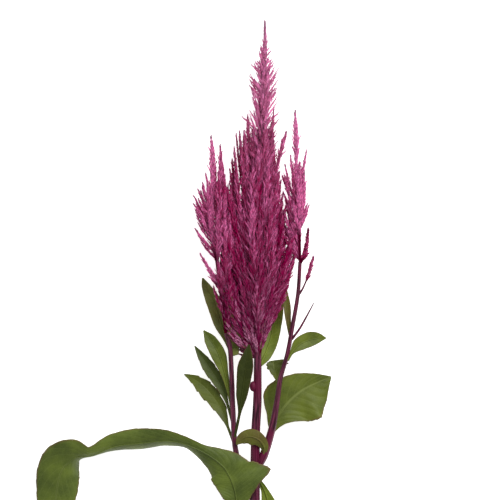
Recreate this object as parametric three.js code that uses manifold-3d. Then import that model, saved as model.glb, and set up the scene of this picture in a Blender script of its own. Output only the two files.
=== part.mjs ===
// A cut plume celosia lying on a flat surface: one stem with two side branches, the feathery plumes
// that they carry, and the leaves. Millimetres, +Z up. The stem lies along Y with its plume towards +Y.
// Places are written from the foot of the main plume, with z = 0 on the surface. At the end everything
// is shifted, so that the origin is the centre of the bottom of the bounding box.

import * as THREE from 'three';
import { mergeVertices } from 'three/addons/utils/BufferGeometryUtils.js';
import Module from 'manifold-3d';

const wasm = await Module();
wasm.setup();

// Driving dimensions
const GAP = 0.3; // clearance between neighbouring pieces
const AXIS_HEIGHT = 17.5; // the plume's axis above the surface at its foot
const STEM_LENGTH = 200; // bare stem below the plume
const STEM_RADIUS = 2.75;
const CUT_END_RADIUS = 3.1;
const CUT_SLANT = 35; // degrees between the cut and the stem's cross-section
const PLUME_LENGTH = 211;
// How far the side spires' tips stand off the plume's axis, at even heights up to REACH_HEIGHT
const PLUME_REACH = [3, 5, 8.5, 13.5, 16, 16, 15, 13.5, 11.5, 8.5, 6.5];
const REACH_HEIGHT = 150;
const SIDE_SPIRES = 18;
const LOWEST_SPIRE = 0.7; // a spire under the plume is pressed against the surface, its core cut flat by it
const BRANCHLET_RADIUS = 1.15; // a branchlet at its root
const BRANCHLET_ANGLE = 25; // degrees between a branchlet and its spire
const BRANCHLET_FAN = 125; // degrees to each side of straight outwards on a side spire
const BLADE_THICKNESS = 0.7;
const PETIOLE_THICKNESS = 1.5;
const MARGIN_TEETH = 0.02; // how far the leaf margin swings in and out, as a share of the half width
const SHEAR = 2.6; // degrees between the stem and the clear line beside the right plume
const MAIN_LEFT = -18.4; // clear line between the left plume and the main one
const MAIN_RIGHT = 13.8; // clear line between the main plume and the right one, at the foot
const LOW_RIGHT = 23.6; // the same within RIGHT_STARTS of the foot, where the main plume reaches the branch
const RIGHT_STARTS = 80;
const FAR = 600; // larger than the whole part

const GOLDEN_ANGLE = Math.PI * (3 - Math.sqrt(5));
const UP = new THREE.Vector3(0, 0, 1);

const FLOWER = new THREE.MeshStandardMaterial({ color: 0x96285f, roughness: 0.85, metalness: 0 });
const BARK = new THREE.MeshStandardMaterial({ color: 0x5a1a3a, roughness: 0.6, metalness: 0 });
const LEAF = new THREE.MeshStandardMaterial({ color: 0x5a7a32, roughness: 0.55, metalness: 0 });
const DARK_LEAF = new THREE.MeshStandardMaterial({ color: 0x3a4a1e, roughness: 0.55, metalness: 0 });

const mix = THREE.MathUtils.lerp;
const radians = THREE.MathUtils.degToRad;
const curveThrough = (points) => new THREE.CatmullRomCurve3(points.map((p) => new THREE.Vector3(...p)));

/** A repeatable number from 0 to 1 for the n-th thing. */
function scatter(n) {
  const wave = Math.sin(n * 12.9898 + 4.1) * 437.585;
  return wave - Math.floor(wave);
}

/** The value at share t of a list of evenly spaced values. */
function along(values, t) {
  const place = t * (values.length - 1);
  const index = Math.min(Math.floor(place), values.length - 2);
  return values.length === 1 ? values[0] : mix(values[index], values[index + 1], place - index);
}

/** A closed three.js geometry as a solid that can be joined and cut. */
function solidOf(geometry) {
  const bare = new THREE.BufferGeometry();
  bare.setAttribute('position', geometry.getAttribute('position').clone());
  bare.setIndex(geometry.index);
  const merged = mergeVertices(bare, 1e-4);
  return new wasm.Manifold(new wasm.Mesh({
    numProp: 3,
    vertProperties: merged.attributes.position.array,
    triVerts: Uint32Array.from(merged.index.array),
  }));
}

/** The largest body of a solid as a named mesh. Scraps that a cut left loose are dropped. */
function meshOf(name, solid, material) {
  const bodies = solid.decompose().sort((a, b) => b.volume() - a.volume());
  const { vertProperties, triVerts } = bodies[0].getMesh();
  const geometry = new THREE.BufferGeometry();
  geometry.setAttribute('position', new THREE.BufferAttribute(vertProperties, 3));
  geometry.setIndex(new THREE.BufferAttribute(triVerts, 1));
  geometry.computeVertexNormals();
  const mesh = new THREE.Mesh(geometry, material);
  mesh.name = name;
  return mesh;
}

/** Where a curve is at share t, with its direction, the sideways direction and the one that faces up. */
function frameAt(curve, t) {
  const tangent = curve.getTangent(t);
  const side = new THREE.Vector3().crossVectors(tangent, UP).normalize();
  const normal = new THREE.Vector3().crossVectors(side, tangent);
  return { point: curve.getPoint(t), tangent, side, normal };
}

/** A closed tapered tube: a cylinder bent along the curve, its radii given at even stations. */
function tube(curve, radii, sides, steps) {
  const geometry = new THREE.CylinderGeometry(1, 1, 1, sides, steps);
  const position = geometry.getAttribute('position');
  for (let i = 0; i < position.count; i += 1) {
    const t = position.getY(i) + 0.5;
    const { point, side, normal } = frameAt(curve, t);
    const radius = along(radii, t);
    point.addScaledVector(side, radius * position.getX(i));
    point.addScaledVector(normal, radius * position.getZ(i));
    position.setXYZ(i, point.x, point.y, point.z);
  }
  return solidOf(geometry);
}

/**
 * A box that clears what lies left (side -1) or right (side 1) of a line along the stem, beyond the distance
 * `start` from the foot (way 1) or short of it (way -1).
 */
function clearing(x, side, start, { way = 1, turn = 0 } = {}) {
  const box = new THREE.BoxGeometry(FAR, FAR, FAR).translate((side * FAR) / 2, start + (way * FAR) / 2, 0);
  return solidOf(box.rotateZ(radians(-turn)).translate(x, 0, 0));
}

const surface = solidOf(new THREE.BoxGeometry(FAR, FAR, FAR).translate(0, 0, -FAR / 2));

// ---- The stem and its branches: centre lines, each with its radii ----

const STEM_AXIS = curveThrough([
  [1.5, -STEM_LENGTH, CUT_END_RADIUS - 0.7],
  [-0.5, -140, 7.6],
  [-1.2, -86, 11.4],
  [-0.9, -45, 14.3],
  [0.2, -24, 15.8],
  [0.6, 2, AXIS_HEIGHT],
]);
const STEM_RADII = [CUT_END_RADIUS, 3.0, 2.9, STEM_RADIUS, STEM_RADIUS, 2.5];
const LEFT_BRANCH = curveThrough([
  [-1.2, -90, 11.1],
  [-9.3, -70, 12.6],
  [-13.4, -54, 13.9],
  [-14.9, -30, 15.4],
  [-15.8, -7, 16.7],
  [-17, 10, 17.8],
  [-19.3, 17.5, 18.1],
]);
const LEFT_RADII = [1.6, 1.6, 1.5, 1.4, 1.3, 1.3, 1.2];
const RIGHT_BRANCH = curveThrough([
  [-1, -68, 12.8],
  [4, -58.5, 14],
  [9.2, -42, 15.6],
  [12.2, -26, 16.7],
  [14.6, -10, 17.3],
  [18.6, 4, 17.9],
  [22, 22, 18.5],
  [25.4, 42, 18.8],
  [26.7, 62, 19],
]);
const RIGHT_RADII = [1.8, 2.2, 2, 1.7, 1.6, 1.5, 1.5, 1.3, 1.2];
const SIDE_STALK = curveThrough([
  [25.2, 40.5, 18.7],
  [28.4, 45.6, 19.3],
  [30.2, 49.6, 19.9],
]);
const TWIG = curveThrough([
  [21.6, 14, 18.4],
  [26.4, 20.6, 19.5],
  [30.6, 28, 20.5],
  [35.2, 36.6, 21.1],
]);
const LEAF_KNOB = { radius: 2.3, place: [-2.4, -15.2, 17.3] };

/** The stem with its branches in one piece. The same tubes, wider by grow, clear what lies round it. */
function stemSolid(grow) {
  const widen = (radii) => radii.map((radius) => radius + grow);
  const knob = new THREE.SphereGeometry(LEAF_KNOB.radius + grow, 7, 5).translate(...LEAF_KNOB.place);
  const whole = wasm.Manifold.union([
    tube(STEM_AXIS, widen(STEM_RADII), 8, 10),
    tube(LEFT_BRANCH, widen(LEFT_RADII), 6, 9),
    tube(RIGHT_BRANCH, widen(RIGHT_RADII), 6, 12),
    tube(SIDE_STALK, widen([0.8, 0.7, 0.7]), 5, 3),
    tube(TWIG, widen([0.8, 0.7, 0.4]), 5, 4),
    solidOf(knob),
  ]);
  const offcut = new THREE.BoxGeometry(40, 40, 40).translate(0, -20, 0);
  offcut.rotateX(radians(CUT_SLANT)).translate(0, -STEM_LENGTH + 4, CUT_END_RADIUS);
  return whole.subtract(solidOf(offcut)).subtract(surface);
}

// ---- Plumes ----

/** Where the k-th branchlet of a fan stands, from -1 to 1, so that neighbours are far apart. */
const fanShare = (k) => 2 * ((k * 0.618 + 0.31) % 1) - 1;

/** One three-sided branchlet of unit length and root radius, standing on the origin. */
const unitBranchlet = solidOf(new THREE.ConeGeometry(1, 1, 3, 1).translate(0, 0.5, 0));

/**
 * A spire: a slim tapered core, with branchlets that climb it from share `from` to its tip. They stand all
 * round it, or, on a spire at the side of a plume, in a fan about the direction `outward`.
 */
function spire({ path, radii, count, longest, shortest, from = 0.08, turn = 0, outward = null }) {
  const curve = curveThrough(path);
  const pieces = [tube(curve, radii, outward ? 4 : 5, path.length + 1)];
  for (let k = 0; k < count; k += 1) {
    const share = (k + 0.5) / count;
    const t = mix(from, 0.97, share);
    const { point, tangent, side, normal } = frameAt(curve, t);
    const round = outward
      ? Math.atan2(outward.dot(normal), outward.dot(side)) + radians(BRANCHLET_FAN) * fanShare(k)
      : turn + k * GOLDEN_ANGLE;
    const lean = radians(BRANCHLET_ANGLE * mix(1.15, 0.65, share));
    const away = side.multiplyScalar(Math.cos(round)).addScaledVector(normal, Math.sin(round));
    const direction = tangent.multiplyScalar(Math.cos(lean)).addScaledVector(away, Math.sin(lean));
    const length = mix(longest, shortest, share * share) * mix(0.85, 1.12, scatter(k + turn * 31));
    const radius = BRANCHLET_RADIUS * mix(1, 0.6, share);
    const placed = new THREE.Matrix4().compose(
      point,
      new THREE.Quaternion().setFromUnitVectors(new THREE.Vector3(0, 1, 0), direction.normalize()),
      new THREE.Vector3(radius, length, radius),
    );
    pieces.push(unitBranchlet.transform(placed.elements));
  }
  return wasm.Manifold.union(pieces);
}

const MAIN_AXIS = [
  [0.6, 2 + GAP, AXIS_HEIGHT],
  [0.6, 30, 16.4],
  [0.9, 65, 15],
  [1.6, 100, 14.8],
  [2.9, 135, 14.4],
  [3.9, 172, 13.6],
  [4.7, PLUME_LENGTH, 12.5],
];

/** A side spire of the main plume: low ones lean out, high ones follow the axis. */
function sideSpire(index) {
  const share = (index + 0.5) / SIDE_SPIRES;
  const axis = curveThrough(MAIN_AXIS);
  const turn = index * GOLDEN_ANGLE + 0.6;
  const outward = new THREE.Vector3(Math.cos(turn), 0, Math.sin(turn));
  const tipY = mix(36, 150, share) + mix(-4, 4, scatter(index));
  const rootY = Math.max(3, tipY - mix(40, 56, scatter(index + SIDE_SPIRES)));
  const reach = along(PLUME_REACH, tipY / REACH_HEIGHT);
  const place = (share01, out) => {
    const point = axis.getPoint(mix(rootY, tipY, share01) / PLUME_LENGTH);
    point.addScaledVector(outward, out * reach);
    return [point.x, point.y, Math.max(point.z, LOWEST_SPIRE)];
  };
  return spire({
    path: [place(0, 0), place(0.3, 0.55), place(0.65, 0.88), place(1, 1)],
    radii: [2, 2.3, 1.8, 0.35],
    count: 11,
    longest: mix(9, 13, Math.min(1, share * 2)),
    shortest: 5,
    from: 0.25,
    outward,
  });
}

// Spires at the flanks of the main plume: the share of its axis at which each leaves it, and its tip
const FLANK_SPIRES = [
  { from: 0, tip: [-15, 25, 15], count: 5, longest: 5 },
  { from: 0, tip: [-17, 40, 20], count: 6, longest: 7 },
  { from: 0.02, tip: [-18, 52, 15], count: 6, longest: 8 },
  { from: 0.08, tip: [-18, 74, 18], count: 6, longest: 9 },
  { from: 0.16, tip: [-17, 98, 19], count: 6, longest: 9 },
  { from: 0.3, tip: [-14, 133.3, 17], count: 7, longest: 8 },
  { from: 0.34, tip: [-12, 142.5, 14], count: 7, longest: 8 },
  { from: 0.4, tip: [-7.5, 145, 19], count: 7, longest: 8 },
  { from: 0.5, tip: [10, 157, 15], count: 6, longest: 8 },
  { from: 0, tip: [7.5, 29, 19], count: 5, longest: 5 },
  { from: 0.01, tip: [12, 41, 20], count: 6, longest: 6 },
  { from: 0.03, tip: [18, 54, 18], count: 6, longest: 8 },
  { from: 0.07, tip: [22, 68, 20], count: 6, longest: 8 },
  { from: 0.12, tip: [19, 79, 18], count: 7, longest: 8 },
  { from: 0.2, tip: [17.2, 104, 18], count: 6, longest: 7 },
  { from: 0.46, tip: [18, 142, 16], count: 6, longest: 6 },
];

/** A side spire that leaves a stalk at the share `from` of its length and bows out a little to its tip. */
function leaningSpire(stalk, { from, tip, count, longest }) {
  const root = stalk.getPoint(from);
  const end = new THREE.Vector3(...tip);
  const outward = end.clone().sub(stalk.getPoint(Math.min(1, from + 0.3))).setY(0).normalize();
  const middle = root.clone().lerp(end, 0.5).addScaledVector(outward, 0.04 * root.distanceTo(end));
  return spire({
    path: [root.toArray(), middle.toArray(), tip],
    radii: [1.6, 1.7, 0.35],
    count,
    longest,
    shortest: 0.5 * longest,
    from: 0.15,
    outward,
  });
}

/** The main plume: a core that thins to the central spire, with side spires all round and at its flanks. */
function mainPlume() {
  const axis = curveThrough(MAIN_AXIS);
  const core = tube(axis, [2.4, 6, 11.5, 9.5, 4, 1.6, 0.5], 7, 14);
  const top = spire({
    path: MAIN_AXIS.slice(3),
    radii: [3, 2.4, 1.6, 0.5],
    count: 41,
    longest: 19,
    shortest: 5,
    from: 0.04,
  });
  const sides = Array.from({ length: SIDE_SPIRES }, (_, index) => sideSpire(index));
  const flanks = FLANK_SPIRES.map((row) => leaningSpire(axis, row));
  return wasm.Manifold.union([core, top, ...sides, ...flanks])
    .subtract(clearing(MAIN_LEFT, -1, 0))
    .subtract(clearing(LOW_RIGHT, 1, 0))
    .subtract(clearing(MAIN_RIGHT, 1, RIGHT_STARTS, { turn: SHEAR }));
}

const LEFT_STALK = [
  [-19.4, 17.5 + GAP, 18.1],
  [-21.7, 38, 18.3],
  [-25.4, 64, 18.3],
  [-27.8, 84, 17.9],
  [-27.9, 102, 17.5],
  [-27.5, 122, 16.5],
  [-28.5, 140, 15.5],
];
// Side spires of a branch's plume: the share of the stalk at which each leaves it, and its tip
const LEFT_SPIRES = [
  { from: 0.08, tip: [-27, 46.5, 20.5], count: 4, longest: 4 },
  { from: 0.25, tip: [-36, 66.5, 15.5], count: 5, longest: 4 },
  { from: 0.16, tip: [-24.5, 62, 29.5], count: 6, longest: 9 },
  { from: 0.18, tip: [-25, 66, 4.5], count: 6, longest: 9 },
  { from: 0.35, tip: [-38.4, 83, 19.5], count: 6, longest: 5 },
  { from: 0.42, tip: [-38.8, 101, 17.5], count: 7, longest: 9 },
  { from: 0.45, tip: [-36, 110, 8.5], count: 6, longest: 9 },
  { from: 0.3, tip: [-24, 96, 30.5], count: 8, longest: 11 },
  { from: 0.4, tip: [-33, 119, 24.5], count: 7, longest: 10 },
  { from: 0.4, tip: [-22.6, 134, 19.5], count: 8, longest: 10 },
  { from: 0.34, tip: [-25, 112, 4.5], count: 6, longest: 10 },
  { from: 0.02, tip: [-21.5, 58, 24], count: 6, longest: 8 },
  { from: 0.25, tip: [-21, 108, 14], count: 6, longest: 9 },
  { from: 0.3, tip: [-32.5, 96, 22], count: 6, longest: 8 },
];

const RIGHT_STALK = [
  [26.7, 62 + GAP, 19],
  [26.2, 82, 18.9],
  [24.9, 101, 18.5],
  [24.3, 131, 17.5],
  [23.7, 156, 16.5],
];
const RIGHT_SPIRES = [
  { from: 0.02, tip: [32, 83, 20.5], count: 7, longest: 6 },
  { from: 0.08, tip: [31.5, 97.5, 17.5], count: 7, longest: 7 },
  { from: 0.06, tip: [25, 94, 28], count: 7, longest: 10 },
  { from: 0.08, tip: [25, 92, 8], count: 7, longest: 10 },
  { from: 0.08, tip: [20.5, 100, 19], count: 7, longest: 8 },
  { from: 0.2, tip: [19.8, 119, 21.5], count: 7, longest: 9 },
  { from: 0.24, tip: [30.5, 131, 17.5], count: 8, longest: 8 },
  { from: 0.3, tip: [21, 128, 15.5], count: 7, longest: 8 },
  { from: 0.26, tip: [25.5, 117, 26.5], count: 7, longest: 10 },
];

/** A branch's plume: a spire on the branch's own line, and side spires that leave it for their tips. */
function branchPlume(stalkPath, stalkRadii, stalkCount, spires) {
  const stalk = curveThrough(stalkPath);
  const pieces = spires.map((row) => leaningSpire(stalk, row));
  pieces.push(spire({
    path: stalkPath,
    radii: stalkRadii,
    count: stalkCount,
    longest: 10,
    shortest: 5,
    from: 0.05,
    turn: 0.5,
  }));
  return wasm.Manifold.union(pieces);
}

function sidePlume() {
  return spire({
    path: [[30.2, 49.6 + GAP, 19.9], [32.8, 57, 20.7], [35, 66.5, 21.1]],
    radii: [0.9, 1.1, 0.35],
    count: 6,
    longest: 5,
    shortest: 3,
    from: 0.2,
  });
}

// ---- Leaves ----
// A station is [x, y, z, half width left of the rib, half width right of it, roll in degrees]. The first
// station is the petiole's root and the last one is the tip. A positive roll lifts the right-hand side.

const LEAVES = [
  {
    name: 'leaf_long',
    material: LEAF,
    large: true,
    steps: 20,
    fold: 0.12,
    stations: [
      [-2.2, -108, 10.5, 1, 1, 0],
      [-8.6, -100, 12.6, 1.2, 1.4, 0],
      [-12.4, -90, 15.8, 5, 6, 2],
      [-13.1, -82.5, 17.1, 8.5, 11, 4],
      [-14.6, -76, 18, 11, 24, 6],
      [-20.4, -65, 18.6, 11.5, 13.5, 10],
      [-30, -57.5, 17.2, 10.5, 9.5, 34],
      [-44.8, -49.6, 17.4, 9, 9, 62],
      [-56.6, -46.8, 15, 10, 10, 50],
      [-73, -47.4, 12.6, 11, 11, 52],
      [-91, -51.4, 11, 10, 10, 62],
      [-103.4, -56, 10.8, 8.5, 8.5, 74],
      [-113.4, -60, 11, 11, 12.5, 42],
      [-121.4, -68, 9.6, 13, 14.8, 13],
      [-125, -82, 6.4, 13, 13, 4],
      [-126, -96, 3.2, 10, 10, 0],
      [-127, -111, 0.9, 0.5, 0.5, 0],
    ],
  },
  {
    name: 'leaf_front',
    material: DARK_LEAF,
    fold: 0.35,
    stations: [
      [-14.2, -48, 15, 0.8, 0.8, 0],
      [-11.2, -34, 17.7, 0.8, 0.8, 0],
      [-9.2, -20, 19.9, 3.6, 3.4, 5],
      [-7.2, -5, 21.8, 5, 4.6, 5],
      [-5.8, 5, 22.7, 2.8, 2.8, 0],
      [-4.9, 11, 23, 0.4, 0.4, 0],
    ],
  },
  {
    name: 'leaf_under_left',
    material: LEAF,
    fold: 0.2,
    stations: [
      [-16.6, 6, 16, 0.8, 0.8, 0],
      [-19.4, 14, 10.5, 1.6, 1.6, 0],
      [-22.6, 24, 6.4, 4.4, 4.4, 0],
      [-27.4, 38, 3.4, 4.6, 4.6, 0],
      [-32, 47, 2, 2.6, 2.6, 0],
      [-34, 52, 1.4, 0.4, 0.4, 0],
    ],
  },
  {
    name: 'leaf_under_right',
    material: LEAF,
    fold: 0.2,
    stations: [
      [1.4, -3, 14.5, 0.8, 0.8, 0],
      [5, 4, 9.5, 3, 2.6, 0],
      [8.4, 14, 5.6, 6, 4, 0],
      [11.6, 28, 3, 5, 4.4, 0],
      [14, 40, 1.6, 2.4, 2.4, 0],
      [14.6, 48, 1.1, 0.4, 0.4, 0],
    ],
  },
  {
    name: 'leaf_left_upper',
    material: LEAF,
    fold: 0.25,
    stations: [
      [-15, -33, 14.4, 0.8, 0.8, 0],
      [-17.4, -20, 13.9, 1, 1, 0],
      [-20, -7, 13.9, 3.6, 2.6, 0],
      [-24, 5, 13.7, 5.4, 5, 0],
      [-29.4, 14, 12.5, 3.6, 3.6, 0],
      [-33.4, 18.6, 11.5, 0.4, 0.4, 0],
    ],
  },
  {
    name: 'leaf_left_middle',
    material: LEAF,
    fold: 0.25,
    stations: [
      [-14.8, -40, 13.8, 0.8, 0.8, 0],
      [-18.2, -27, 10.7, 0.9, 0.9, 0],
      [-22.2, -15.4, 8.8, 3.4, 3, 0],
      [-28.8, -5, 7.6, 3.8, 3.8, 0],
      [-35.4, 4.4, 6.5, 2.2, 2.2, 0],
      [-38.6, 9, 6.1, 0.4, 0.4, 0],
    ],
  },
  {
    name: 'leaf_left_lower',
    material: LEAF,
    fold: 0.2,
    stations: [
      [-13.6, -53, 13.1, 0.9, 0.9, 0],
      [-17.4, -41, 10.4, 1.2, 1.2, 0],
      [-22, -29, 7.6, 5, 4.4, 0],
      [-30, -18.6, 4.9, 5.6, 4.8, 0],
      [-38.6, -11.6, 2.4, 3.2, 3, 0],
      [-45.4, -8.2, 0.7, 0.4, 0.4, 0],
    ],
  },
  {
    name: 'leaf_curled',
    material: LEAF,
    fold: 0.1,
    stations: [
      [3.4, -59, 14.8, 0.8, 0.8, 0],
      [4.6, -51.6, 18.4, 2.4, 2, 10],
      [0, -46.6, 20.9, 4.2, 4, 10],
      [-6.6, -46, 20.1, 4.4, 4.4, 0],
      [-11, -49.8, 18.6, 2, 2, 0],
      [-13, -52.4, 18.1, 0.4, 0.4, 0],
    ],
  },
  {
    name: 'leaf_broad',
    material: LEAF,
    large: true,
    fold: 0.1,
    stations: [
      [1.8, -62, 10, 0.9, 0.9, 0],
      [7.4, -48, 8, 1.6, 1.6, 0],
      [12, -36, 6.4, 9.5, 8.5, 0],
      [19, -25, 5, 15.4, 17, 0],
      [29, -17, 3.6, 11, 19, 0],
      [39.5, -12, 2.4, 5, 10, 0],
      [47, -9.4, 1.1, 0.5, 0.5, 0],
    ],
  },
  {
    name: 'leaf_notch',
    material: LEAF,
    fold: 0.15,
    stations: [
      [13.9, -14, 16.9, 0.7, 0.7, 0],
      [12.4, -8.6, 12.2, 3.4, 5.4, 0],
      [10, -3.4, 9.6, 5, 9, 0],
      [8, 0.2, 8.9, 0.5, 0.5, 0],
    ],
  },
  {
    name: 'leaf_right',
    material: LEAF,
    fold: 0.2,
    stations: [
      [18.8, -1, 17.9, 0.8, 0.8, 0],
      [24, 5.6, 17.5, 1.8, 1.8, 0],
      [30.4, 11.2, 15.5, 5, 4.2, 0],
      [37, 13.8, 12.5, 4, 3, 0],
      [43, 14.6, 9.9, 0.4, 0.4, 0],
    ],
  },
  {
    name: 'leaf_narrow',
    material: LEAF,
    fold: 0.3,
    stations: [
      [21, 14, 16.5, 0.6, 0.6, 0],
      [19.4, 24, 14.9, 1.4, 1.4, 0],
      [18.6, 34, 14.1, 1.6, 1.6, 0],
      [18, 46, 13.5, 0.35, 0.35, 0],
    ],
  },
  {
    name: 'leaf_low',
    material: LEAF,
    fold: 0.15,
    stations: [
      [-0.2, -72, 11.8, 0.9, 0.9, 0],
      [4.6, -80, 9.6, 2.2, 2.2, 0],
      [8.6, -94, 6.8, 6, 6, 0],
      [12.6, -112, 3.6, 7, 7, 0],
      [15.4, -128, 1.7, 4.4, 4.4, 0],
      [17, -142, 0.8, 0.4, 0.4, 0],
    ],
  },
];

// Shares of the half width from the left margin to the right one, on a large leaf and on a small one
const WIDE_COLUMNS = [-1, -0.5, 0, 0.5, 1];
const SMALL_COLUMNS = [-1, 0, 1];

/** Both faces of a leaf as rows of points, wider and thicker by grow. */
function bladeRows({ stations, fold, large = false, steps = 2 * (stations.length - 1) }, grow) {
  const rib = curveThrough(stations.map((station) => station.slice(0, 3)));
  const shape = curveThrough(stations.map((station) => station.slice(3)));
  const columns = large ? WIDE_COLUMNS : SMALL_COLUMNS;
  return Array.from({ length: steps + 1 }, (_, row) => {
    const t = row / steps;
    const { point, side, normal } = frameAt(rib, t);
    const { x: left, y: right, z: roll } = shape.getPoint(t);
    const across = side.clone().multiplyScalar(Math.cos(radians(roll)))
      .addScaledVector(normal, Math.sin(radians(roll)));
    const facing = normal.clone().multiplyScalar(Math.cos(radians(roll)))
      .addScaledVector(side, -Math.sin(radians(roll)));
    const half = mix(PETIOLE_THICKNESS, BLADE_THICKNESS, Math.min(1, t * 5)) / 2 + grow;
    const teeth = 1 + (row % 2 ? -MARGIN_TEETH : MARGIN_TEETH);
    const column = (u, face) => {
      const reach = Math.max(0.35, u < 0 ? left : right) * (Math.abs(u) === 1 ? teeth : 1) + grow;
      const lift = fold * reach * Math.abs(u) + 0.06 * reach * u * Math.sin(row * 1.7 + u);
      return point.clone().addScaledVector(across, u * reach).addScaledVector(facing, lift + face * half);
    };
    return { top: columns.map((u) => column(u, 1)), bottom: columns.map((u) => column(u, -1)) };
  });
}

/** A leaf as one closed sheet: two faces split into triangles alike, and a rim that joins them. */
function leafSolid(leaf, grow = 0) {
  const rows = bladeRows(leaf, grow);
  const wide = rows[0].top.length;
  const points = rows.flatMap(({ top, bottom }) => [...top, ...bottom]);
  const at = (row, column, face) => row * 2 * wide + face * wide + column;
  const index = [];
  const quad = (a, b, c, d) => index.push(a, b, c, a, c, d);
  for (let r = 0; r < rows.length - 1; r += 1) {
    for (let c = 0; c < wide - 1; c += 1) {
      quad(at(r, c, 0), at(r, c + 1, 0), at(r + 1, c + 1, 0), at(r + 1, c, 0));
      index.push(at(r, c, 1), at(r + 1, c + 1, 1), at(r, c + 1, 1));
      index.push(at(r, c, 1), at(r + 1, c, 1), at(r + 1, c + 1, 1));
    }
    quad(at(r, 0, 1), at(r, 0, 0), at(r + 1, 0, 0), at(r + 1, 0, 1));
    quad(at(r, wide - 1, 0), at(r, wide - 1, 1), at(r + 1, wide - 1, 1), at(r + 1, wide - 1, 0));
  }
  const end = rows.length - 1;
  for (let c = 0; c < wide - 1; c += 1) {
    quad(at(0, c, 1), at(0, c + 1, 1), at(0, c + 1, 0), at(0, c, 0));
    quad(at(end, c, 0), at(end, c + 1, 0), at(end, c + 1, 1), at(end, c, 1));
  }
  const geometry = new THREE.BufferGeometry().setFromPoints(points);
  geometry.setIndex(index);
  return solidOf(geometry);
}

// ---- The part ----

const stemClearance = stemSolid(GAP);
const leafClearance = wasm.Manifold.union(LEAVES.map((leaf) => leafSolid(leaf, GAP)));
const clearOfAll = (solid) => solid.subtract(stemClearance).subtract(leafClearance).subtract(surface);

const leftPlume = branchPlume(LEFT_STALK, [1.3, 2.4, 2.6, 2.4, 1.8, 1.1, 0.35], 16, LEFT_SPIRES)
  .subtract(clearing(MAIN_LEFT - GAP, 1, 0));
const rightPlume = branchPlume(RIGHT_STALK, [1.3, 2.2, 2, 1.2, 0.35], 18, RIGHT_SPIRES)
  .subtract(clearing(MAIN_RIGHT + GAP, -1, 0, { turn: SHEAR }))
  .subtract(clearing(LOW_RIGHT + GAP, -1, RIGHT_STARTS + GAP, { way: -1 }));

const plant = new THREE.Group();
plant.add(meshOf('stem', stemSolid(0), BARK));
plant.add(meshOf('plume_main', clearOfAll(mainPlume()), FLOWER));
plant.add(meshOf('plume_left', clearOfAll(leftPlume), FLOWER));
plant.add(meshOf('plume_right', clearOfAll(rightPlume), FLOWER));
plant.add(meshOf('plume_side', clearOfAll(sidePlume()), FLOWER));
for (const leaf of LEAVES) {
  const cut = leafSolid(leaf).subtract(stemClearance).subtract(surface);
  plant.add(meshOf(leaf.name, cut, leaf.material));
}

const bounds = new THREE.Box3().setFromObject(plant);
plant.position.set(
  -(bounds.min.x + bounds.max.x) / 2,
  -(bounds.min.y + bounds.max.y) / 2,
  -bounds.min.z,
);
const part = new THREE.Group();
part.add(plant);

export default part;
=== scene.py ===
"""A cut plume celosia lying on a pale floor: ribbed maroon stem, feathery magenta plumes, green leaves.

Every place is written in millimetres from the foot of the main plume, with z = 0 on the floor, the plume
towards +Y, and is moved into the frame when a piece is finished.
"""

import math
import random

import bmesh
import bpy
from mathutils import Matrix, Vector


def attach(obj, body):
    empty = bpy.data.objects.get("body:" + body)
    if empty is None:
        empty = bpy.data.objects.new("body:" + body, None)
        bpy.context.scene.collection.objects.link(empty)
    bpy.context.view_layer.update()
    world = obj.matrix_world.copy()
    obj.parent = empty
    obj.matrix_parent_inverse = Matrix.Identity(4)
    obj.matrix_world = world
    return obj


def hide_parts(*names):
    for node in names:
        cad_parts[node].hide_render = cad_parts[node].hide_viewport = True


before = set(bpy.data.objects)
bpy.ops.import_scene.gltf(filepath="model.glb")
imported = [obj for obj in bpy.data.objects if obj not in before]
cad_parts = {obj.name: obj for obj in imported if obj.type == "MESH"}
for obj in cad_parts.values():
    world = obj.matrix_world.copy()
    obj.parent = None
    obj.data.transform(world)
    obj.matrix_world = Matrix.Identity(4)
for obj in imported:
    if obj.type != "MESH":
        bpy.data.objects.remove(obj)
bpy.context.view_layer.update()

# ---- Stem and branches ----
# The stem of a cut celosia with its two side branches, a twig and a bud. It is green wood flushed maroon,
# ribbed along its length, thicker where a branch leaves it, and cut on a slant at its lower end.

FOOT = Vector((45.2831, -7.0239, 0.0))  # the main plume's foot in the frame, in millimetres
IN_FRAME = Matrix.Scale(0.001, 4) @ Matrix.Translation(FOOT)
UP = Vector((0, 0, 1))

# Each stalk's middle line from its lower end up, and its radii, evenly spaced along it
STEM_AXIS = [(1.5, -200, 2.75), (-0.5, -140, 7.6), (-1.2, -86, 11.4), (-0.9, -45, 14.3), (0.2, -24, 15.8),
             (0.4, 2, 17.5), (0.4, 12, 17.3)]
STEM_RADII = [3.1, 3.0, 2.9, 2.75, 2.6, 2.25, 2]
LEFT_BRANCH = [(-1.2, -90, 11.1), (-9.3, -70, 12.6), (-13.4, -54, 13.9), (-14.9, -30, 15.4),
               (-15.8, -7, 16.7), (-17, 10, 17.8), (-19.3, 17.5, 18.1)]
LEFT_RADII = [1.6, 1.75, 1.65, 1.55, 1.5, 1.4, 1.3]
RIGHT_BRANCH = [(-1, -68, 12.8), (4, -58.5, 14), (9.2, -42, 15.6), (12.2, -26, 16.7), (14.6, -10, 17.3),
                (18.6, 4, 17.9), (22, 22, 18.5), (25.4, 42, 18.8), (26.7, 62, 19)]
RIGHT_RADII = [2.2, 2.7, 2.2, 1.7, 1.4, 1.3, 1.3, 1.2, 1.1]
SIDE_STALK = [(25.2, 40.5, 18.7), (28.4, 45.6, 19.3), (30.2, 49.6, 19.9)]
SIDE_STALK_RADII = [0.8, 0.6, 0.5]
TWIG = [(21.6, 14, 18.4), (26.4, 20.6, 19.5), (30.6, 28, 20.5), (35.2, 36.6, 21.1)]
TWIG_RADII = [0.8, 0.7, 0.6, 0.3]
RIB_DEPTH = 0.05  # as a share of the radius
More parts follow.
